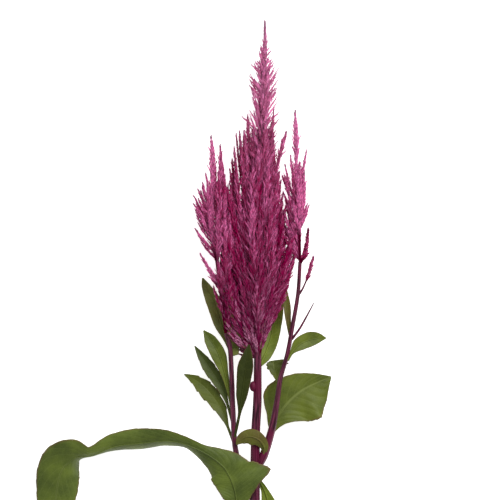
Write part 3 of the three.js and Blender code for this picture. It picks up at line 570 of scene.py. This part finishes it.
RIGHT_SPIRES = [
    (0.24, (32.2, 97.4, 17.5), 3.5), (0.3, (30, 108, 17.5), 4), (0.3, (29.4, 118, 20), 5),
    (0.25, (29.6, 102, 14), 4), (0.55, (30.7, 131.2, 17.5), 4), (0.55, (20.8, 128.5, 15.5), 5),
    (0.42, (17.3, 122.5, 18), 4), (0.35, (16.8, 116.4, 20), 4), (0.28, (16.3, 105.2, 16), 4),
    (0.36, (15.6, 116, 13), 3.5), (0.06, (24, 90, 14), 7), (0.06, (24, 90, 10), 7),
    (0.26, (25, 117, 26), 7), (0.02, (20, 86, 17), 7), (0.05, (19.5, 96, 15), 7),
    (0.08, (19.5, 107, 20), 7), (0.28, (27, 112, 22), 6), (0.25, (27, 115, 12), 6),
    (0.35, (26.5, 124, 20), 6), (0.2, (22, 100, 26), 7), (0.3, (22, 120, 22), 6), (0, (21, 79, 17), 6),
    (0, (22.5, 78, 14), 6), (0, (21, 86, 19), 6), (0, (18, 84, 18), 6), (0.04, (17, 93, 20), 5),
    (0.08, (17.5, 102, 12), 5), (0.26, (31, 98, 21), 4), (0.26, (29, 96, 14), 4), (0, (17, 78, 19), 5),
    (0, (16, 87, 15), 5), (0, (20, 74, 15), 5), (0.32, (28.5, 113, 15), 5), (0.4, (28, 121, 17), 5),
]
FORK_SPIKE = [(26.8, 61.6, 19), (28.8, 65, 19.6), (30.8, 73, 20.2), (31.8, 83, 20.5)]
SIDE_SPIKE = [(30.1, 49.2, 19.9), (32.8, 57, 20.7), (35, 65.5, 21.1)]


def branch_plume(stalk_points, bare, spires, tone):
    """A branch's plume: side spires, and a stalk with branchlets of its own beyond its share bare."""
    stalk = smooth_line(stalk_points)
    bm = plume_mesh()
    for leaves_at, tip, longest in spires:
        # Painted shade: the lowest spires and the inner ones, beside the main plume, are coloured darker
        height_share = min(1, max(0.2, (tip[1] - 10) / 70))
        outer_share = min(1, max(0, (abs(tip[0]) - 15) / 12))
        shaded_tone = tone * height_share * mix(0.5, 1, outer_share)
        leaning_spire(bm, stalk, leaves_at, tip, longest, shaded_tone + draw.uniform(-0.4, 0.15), bare=0.12)
    spire(bm, stalk_points, 1, 7, lean=17, sway=0.35, density=3, bare=bare, tone=tone)
    return bm


bm = branch_plume(LEFT_STALK, 0.4, LEFT_SPIRES, 1.15)
finish_plume("left_branch_plume", bm, "plume_left")

bm = branch_plume(RIGHT_STALK, 0.2, RIGHT_SPIRES, 1.35)
spire(bm, FORK_SPIKE, 1.3, 4.5, lean=20, sway=0.4, density=4, stout=2.2, bare=0.16, tone=0.3)
finish_plume("right_branch_plume", bm, "plume_right")

bm = plume_mesh()
spire(bm, SIDE_SPIKE, 0.6, 4, density=4, lean=24, tone=0.6)
finish_plume("side_spike", bm, "plume_side")

# ---- Leaves ----
# Celosia leaves: thin soft blades that taper to a point, on short stalks that run on as the midrib.
# Side veins leave the midrib at an angle, the blade is quilted between them, and its margin is wavy.

BLADE_THICKNESS = 0.45
NARROWEST = 0.35  # the least half width of a blade
MIDRIB_RADII = [0.8, 0.75, 0.65, 0.55, 0.45, 0.35, 0.25, 0.15]
VEIN_PITCH = 6.0  # millimetres between side veins along the midrib
VEIN_LEAN = 0.8  # how far a side vein climbs for each millimetre outwards
MARGIN_WAVE = 0.06  # as a share of the half width


def leaf_skin(name, face, shade, vein, blush="#7a4a40"):
    """
    Fresh leaf skin, waxy on top: green, mottled in patches 14 mm across, with paler veins, a faint net of
    small ones 1.4 mm apart, and a blushed rim.
    """
    made, tree, shader = new_material(name)
    veins = add(tree, "ShaderNodeSeparateXYZ", {
        0: add(tree, "ShaderNodeUVMap", {}, uv_map="UVMap").outputs[0]})
    place = add(tree, "ShaderNodeTexCoord", {}).outputs["Object"]
    blotches = add(tree, "ShaderNodeTexNoise", {"Vector": place, "Scale": 70, "Detail": 4})
    mottle = add(tree, "ShaderNodeMapRange", {
        "Value": blotches.outputs["Fac"], "From Min": 0.35, "From Max": 0.65})
    green = add(tree, "ShaderNodeMix", {
        "Factor": mottle.outputs[0], "A": colour(shade), "B": colour(face)}, data_type="RGBA")
    net = add(tree, "ShaderNodeTexVoronoi", {"Vector": place, "Scale": 700}, feature="DISTANCE_TO_EDGE")
    net_share = add(tree, "ShaderNodeMapRange", {
        "Value": net.outputs["Distance"], "From Min": 0.0, "From Max": 0.12, "To Min": 0.12, "To Max": 0})
    netted = add(tree, "ShaderNodeMix", {
        "Factor": net_share.outputs[0], "A": green.outputs[2], "B": colour(vein)}, data_type="RGBA")
    out = add(tree, "ShaderNodeMath", {0: veins.outputs["X"], 1: 0.5}, operation="SUBTRACT")
    out = add(tree, "ShaderNodeMath", {0: out.outputs[0]}, operation="ABSOLUTE")
    phase = add(tree, "ShaderNodeMath", {0: veins.outputs["Y"], 1: 0.5}, operation="PINGPONG")
    side_share = add(tree, "ShaderNodeMapRange", {
        "Value": phase.outputs[0], "From Min": 0.02, "From Max": 0.06, "To Min": 0.17, "To Max": 0})
    midrib_share = add(tree, "ShaderNodeMapRange", {
        "Value": out.outputs[0], "From Min": 0.012, "From Max": 0.03, "To Min": 0.4, "To Max": 0})
    vein_share = add(tree, "ShaderNodeMath", {
        0: side_share.outputs[0], 1: midrib_share.outputs[0]}, operation="MAXIMUM")
    veined = add(tree, "ShaderNodeMix", {
        "Factor": vein_share.outputs[0], "A": netted.outputs[2], "B": colour(vein)}, data_type="RGBA")
    rim_share = add(tree, "ShaderNodeMapRange", {
        "Value": out.outputs[0], "From Min": 0.455, "From Max": 0.5, "To Max": 0.5})
    rimmed = add(tree, "ShaderNodeMix", {
        "Factor": rim_share.outputs[0], "A": veined.outputs[2], "B": colour(blush)}, data_type="RGBA")
    tree.links.new(rimmed.outputs[2], shader.inputs["Base Color"])
    shader.inputs["Roughness"].default_value = 0.48
    shader.inputs["Specular IOR Level"].default_value = 0.2
    height = add(tree, "ShaderNodeMath", {0: vein_share.outputs[0], 1: net_share.outputs[0]}, operation="ADD")
    relief = add(tree, "ShaderNodeBump", {"Height": height.outputs[0], "Strength": 0.25, "Distance": 0.0003})
    relief.invert = True
    tree.links.new(relief.outputs[0], shader.inputs["Normal"])
    return made


LEAF_GREEN = leaf_skin("leaf_skin_green", "#5e6822", "#48521c", "#838c4c")
LEAF_SHADED = leaf_skin("leaf_skin_shaded", "#4c5820", "#3c4818", "#6c7644")
LEAF_LONG = leaf_skin("leaf_skin_long", "#65742c", "#4a5822", "#879252")
LEAF_YOUNG = leaf_skin("leaf_skin_young", "#667222", "#4e5a1a", "#8a9450")
# A lighter, yellower copy of the green skin: painted light, for leaves that lie in shade.
LEAF_PAINTED_LIGHT = leaf_skin("leaf_skin_painted_light", "#74842a", "#5c6c1c", "#949c54")
# A darker copy of the green skin: painted shade, for the leaf that lies in shadow.
LEAF_PAINTED_SHADE = leaf_skin("leaf_skin_painted_shade", "#3a4212", "#2a310c", "#545a2a")
LEAF_OLIVE = leaf_skin("leaf_skin_olive", "#78823a", "#5c6230", "#9c985c", blush="#8c3440")
LEAF_FLUSHED = leaf_skin("leaf_skin_flushed", "#626a22", "#5e5428", "#8a8048", blush="#7c2c3c")


def leaf(
        name, stations, skin, fold, teeth=0.012, tooth=4.5, quilt=0.08, large=False, waves=None):
    """
    A leaf along its rib. A station is x, y, z, the half widths left and right of the rib, and the roll. fold
    gives, from root to tip, how far the margins are lifted, or dropped, as a share of the half width. teeth
    and quilt are how deep the margin is toothed and the blade quilted, tooth is a tooth's length, waves is
    how much the margin waves along its length, and a large blade gets twice as many faces across.
    """
    rib = smooth_line([station[:3] for station in stations])
    shape = smooth_line([station[3:] for station in stations])
    waves = waves or 2 * (len(stations) - 1)
    samples = [rib(i / 60) for i in range(61)]
    length = sum((b - a).length for a, b in zip(samples, samples[1:]))
    widest = max(max(station[3:5]) for station in stations)

    def vein_phase(u, v):
        out = abs(2 * u - 1) * widest
        return (v * length - VEIN_LEAN * out) / VEIN_PITCH + 0.25 * (2 * u - 1)

    def place(u, v):
        point, _, side, normal = axes_at(rib, v)
        left, right, roll = shape(v)
        across = math.cos(math.radians(roll)) * side + math.sin(math.radians(roll)) * normal
        facing = math.cos(math.radians(roll)) * normal - math.sin(math.radians(roll)) * side
        out = 2 * u - 1
        saw = 1 - (v * length / tooth + 0.3 * (out > 0)) % 1
        reach = max(NARROWEST, left if out < 0 else right)
        reach *= 1 + teeth * abs(out) ** 6 * (2 * saw - 1) * min(1, reach / 3)
        rise = along(fold, v)
        curve = abs(out) if rise > 0 else out**2  # creased where it is lifted, rounded where it droops
        lift = rise * reach * curve + MARGIN_WAVE * reach * out * math.sin(1.7 * waves * v + out)
        swell = quilt * min(1, reach / 6) * math.sin(math.pi * abs(out))
        swell *= math.cos(2 * math.pi * vein_phase(u, v))
        spot = point + out * reach * across + (lift - swell) * facing
        spot.z = max(spot.z, BLADE_THICKNESS + 0.1)
        return spot

    bm = bmesh.new()
    marks = bm.loops.layers.uv.new("UVMap")
    bend_grid(bm, 40 if large else 20, round(length / 0.8), place)
    for face in bm.faces:
        for loop in face.loops:
            u, v = loop[marks].uv
            loop[marks].uv = (u, vein_phase(u, v))
    bmesh.ops.recalc_face_normals(bm, faces=bm.faces)
    bmesh.ops.solidify(bm, geom=bm.faces[:], thickness=BLADE_THICKNESS)
    tube(bm, rib, MIDRIB_RADII, 10, 60)
    set_order(bm)
    finish_piece(name, bm, skin, [name.removesuffix("_blade")])


leaf("leaf_long_blade", [
    (-2.2, -108, 10.5, 1, 1, 0), (-8.6, -100, 12.6, 1.2, 1.4, 0), (-12.4, -90, 15.8, 5, 5, 2),
    (-12.9, -84, 17, 8, 9.5, 4), (-13.8, -79.2, 17.6, 9.6, 15.5, 5), (-15.2, -74.8, 18.1, 11, 25, 7),
    (-16.3, -72.2, 18.3, 11.3, 20, 8), (-17.6, -69.9, 18.4, 11.6, 16.4, 8),
    (-20.4, -65.4, 18.6, 11.5, 12, 10),
    (-30, -58, 17.2, 7.4, 5.8, 14), (-44.8, -51.1, 17.4, 8, 5, 52), (-56, -49.2, 15.4, 10.5, 6.6, 44),
    (-72, -50.8, 12.8, 12, 8.2, 40), (-89, -53, 11.4, 11, 7.2, 48), (-103, -58.6, 10.8, 9, 7, 68),
    (-113.4, -60, 11, 11, 12.5, 42), (-121.4, -68, 9.6, 13, 14.6, 13), (-125, -82, 6.4, 13, 12.6, 4),
    (-126, -96, 3.2, 10, 10, 0), (-127, -111, 0.9, 0.5, 0.5, 0),
], LEAF_LONG, [0.2, 0.15, 0.1, -0.1, -0.2, -0.4, -0.6, -0.6, -0.45, -0.2, -0.1], large=True, waves=20)
# Painted shade: the front leaf's skin is a darker copy of the green.
leaf("leaf_front_blade", [
    (-14.2, -48, 15, 0.8, 0.8, 0), (-11.2, -34, 17.7, 0.8, 0.8, 0), (-9.2, -20, 19.9, 3.6, 3.4, 5),
    (-7.2, -5, 21.8, 5, 4.6, 5), (-5.8, 5, 22.7, 2.8, 2.8, 0), (-4.9, 11, 23, 0.4, 0.4, 0),
], LEAF_PAINTED_SHADE, [0.35])
leaf("leaf_under_left_blade", [
    (-16.4, 3.4, 16, 0.8, 5, 0), (-17, 8, 13.4, 1.2, 6, 0), (-18.8, 13.4, 10.6, 1.8, 7.6, 0),
    (-22.6, 24, 6.4, 4.4, 5.4, 0),
    (-27.4, 38, 3.4, 4.6, 4.6, 0), (-32, 47, 2, 2.6, 2.6, 0), (-34, 52, 1.4, 0.4, 0.4, 0),
], LEAF_OLIVE, [0.2])
# Painted light: this leaf's skin is a lighter copy of the green.
leaf("leaf_under_right_blade", [
    (1.4, -3, 14.5, 0.8, 0.8, 0), (5, 4, 9.5, 3, 4, 0), (8.4, 14, 5.6, 6, 5, 0),
    (11.6, 28, 3, 5, 4.6, 0), (14, 40, 1.6, 2.4, 2.4, 0), (14.6, 48, 1.1, 0.4, 0.4, 0),
], LEAF_PAINTED_LIGHT, [0.2])
leaf("leaf_left_upper_blade", [
    (-15, -33, 14.4, 0.8, 0.8, 0), (-17.4, -20, 13.9, 0.9, 0.9, 0), (-20, -7, 13.9, 2.6, 2.2, 0),
    (-24, 5, 13.7, 4.8, 4.4, 0), (-29.2, 14, 12.5, 3.8, 3.4, 0), (-33.2, 19.4, 11.5, 0.4, 0.4, 0),
], LEAF_YOUNG, [0.25])
leaf("leaf_left_middle_blade", [
    (-14.8, -40, 13.8, 0.8, 0.8, 0), (-18.2, -27, 10.7, 0.9, 0.9, 0), (-22.2, -15.4, 8.8, 3.4, 3, 0),
    (-28.8, -5, 7.6, 4.2, 3.8, 0), (-35.4, 4.4, 6.5, 2.2, 2.2, 0), (-38.8, 9.6, 6.1, 0.4, 0.4, 0),
], LEAF_SHADED, [0.25], teeth=0.05, tooth=6)
leaf("leaf_left_lower_blade", [
    (-13.6, -53, 13.1, 0.8, 0.8, 0), (-18, -41, 10.4, 0.9, 0.9, 0), (-22.6, -29, 7.6, 4.2, 3.6, 0),
    (-30.4, -18.4, 4.9, 5.6, 4.8, 0), (-38.6, -11.6, 2.4, 3.2, 3, 0), (-45.4, -8.2, 0.7, 0.4, 0.4, 0),
], LEAF_GREEN, [0.2], teeth=0.09, tooth=8)
leaf("leaf_curled_blade", [
    (3.4, -59, 14.8, 0.8, 0.8, 0), (4.6, -53.4, 18.2, 3, 2.6, 10), (1, -48, 20.7, 4.6, 4.2, 10),
    (-5.4, -46.2, 20.2, 4.9, 4.5, 0), (-10.2, -48.4, 18.7, 3.2, 3.2, 0), (-12.8, -51.4, 18.1, 0.4, 0.4, 0),
], LEAF_FLUSHED, [-0.2])
leaf("leaf_broad_blade", [
    (1.8, -62, 10, 0.9, 0.9, 0), (8.4, -46, 7.8, 1.2, 1.2, 0), (12, -37, 6.4, 6.5, 5.5, 0),
    (18.6, -26.4, 5, 16.4, 17.5, 0), (28, -18, 3.6, 12, 21, 0), (38.5, -12.6, 2.4, 5.4, 13, 0),
    (46.2, -9.8, 1.1, 0.5, 0.5, 0),
], LEAF_YOUNG, [0.1], quilt=0.1, large=True)
leaf("leaf_notch_blade", [
    (13.9, -14, 16.9, 0.7, 0.7, 0), (12.6, -10.2, 12.6, 1.6, 1.8, 0), (11.2, -6.4, 10, 2.8, 4, 0),
    (10.4, -3, 9.2, 4.4, 8.4, 0), (10.2, -0.8, 8.9, 4.2, 9.6, 0), (10, 0.6, 8.8, 2.4, 5, 0),
], LEAF_GREEN, [0.15], teeth=0.14, tooth=3)
leaf("leaf_right_blade", [
    (18.9, 1, 17.9, 0.8, 0.8, 0), (21.4, 5.6, 17.7, 1.2, 1.2, 0), (26, 10.6, 16.4, 4.2, 4, 0),
    (32, 13.4, 14.6, 5, 4.4, 0), (38, 14.5, 12, 3.6, 3, 0), (43, 14.6, 9.9, 0.4, 0.4, 0),
], LEAF_YOUNG, [0.2])
leaf("leaf_narrow_blade", [
    (21, 14, 16.5, 0.6, 0.6, 0), (19.6, 24, 14.9, 1.5, 1.5, 0), (18.8, 34, 14.1, 2.1, 2.1, 0),
    (18, 46, 13.5, 0.35, 0.35, 0),
], LEAF_FLUSHED, [0.3])
# Painted light: this leaf's skin is a lighter copy of the green.
leaf("leaf_low_blade", [
    (-0.2, -72, 11.8, 0.9, 0.9, 0), (4.6, -80, 9.6, 2.2, 2.2, 0), (8.6, -94, 6.8, 6, 6, 0),
    (12.6, -112, 3.6, 7, 7, 0), (15.4, -128, 1.7, 4.4, 4.4, 0), (17, -142, 0.8, 0.4, 0.4, 0),
], LEAF_PAINTED_LIGHT, [0.15])

# ---- Floor, light and camera ----
# A plain white sheet that glows a little, as a product table does, so that shadows stay pale. One wide soft
# light above the plant's head, and the camera straight above the plume.

floor_sheet, _, shader = new_material("white_table")
shader.inputs["Base Color"].default_value = colour("#f4f4f4")
shader.inputs["Roughness"].default_value = 0.9
shader.inputs["Emission Color"].default_value = colour("#ffffff")
shader.inputs["Emission Strength"].default_value = 0.8
bm = bmesh.new()
bmesh.ops.create_grid(bm, x_segments=1, y_segments=1, size=3)
mesh = bpy.data.meshes.new("floor")
bm.to_mesh(mesh)
bm.free()
mesh.materials.append(floor_sheet)
floor = bpy.data.objects.new("floor", mesh)
bpy.context.scene.collection.objects.link(floor)

world = bpy.data.worlds.new("white_room")
world.use_nodes = True
world.node_tree.nodes["Background"].inputs["Color"].default_value = colour("#ffffff")
world.node_tree.nodes["Background"].inputs["Strength"].default_value = 0.4
bpy.context.scene.world = world
bpy.context.scene.view_settings.view_transform = "Standard"

PLUME_MIDDLE = Vector((0.04, 0.06, 0))  # in metres, as the lamp's place is
softbox = bpy.data.lights.new("softbox", "AREA")
softbox.size = 0.9
softbox.energy = 17
lamp = bpy.data.objects.new("softbox", softbox)
lamp.location = (0.5, 0.8, 1.05)
lamp.rotation_euler = (PLUME_MIDDLE - lamp.location).to_track_quat("-Z", "Y").to_euler()
bpy.context.scene.collection.objects.link(lamp)

VIEW_CENTRE = Vector((-4.34, 69.44, 20))  # the middle of the view, level with the stem's upper side
VIEW_WIDTH = 310  # at that level
VIEW_HEIGHT = 2500  # the camera above that level
camera = bpy.data.cameras.new("camera")
camera.sensor_width = 36
camera.lens = camera.sensor_width * VIEW_HEIGHT / VIEW_WIDTH
eye = bpy.data.objects.new("camera", camera)
eye.location = IN_FRAME @ (VIEW_CENTRE + VIEW_HEIGHT * UP)
bpy.context.scene.collection.objects.link(eye)
bpy.context.scene.camera = eye
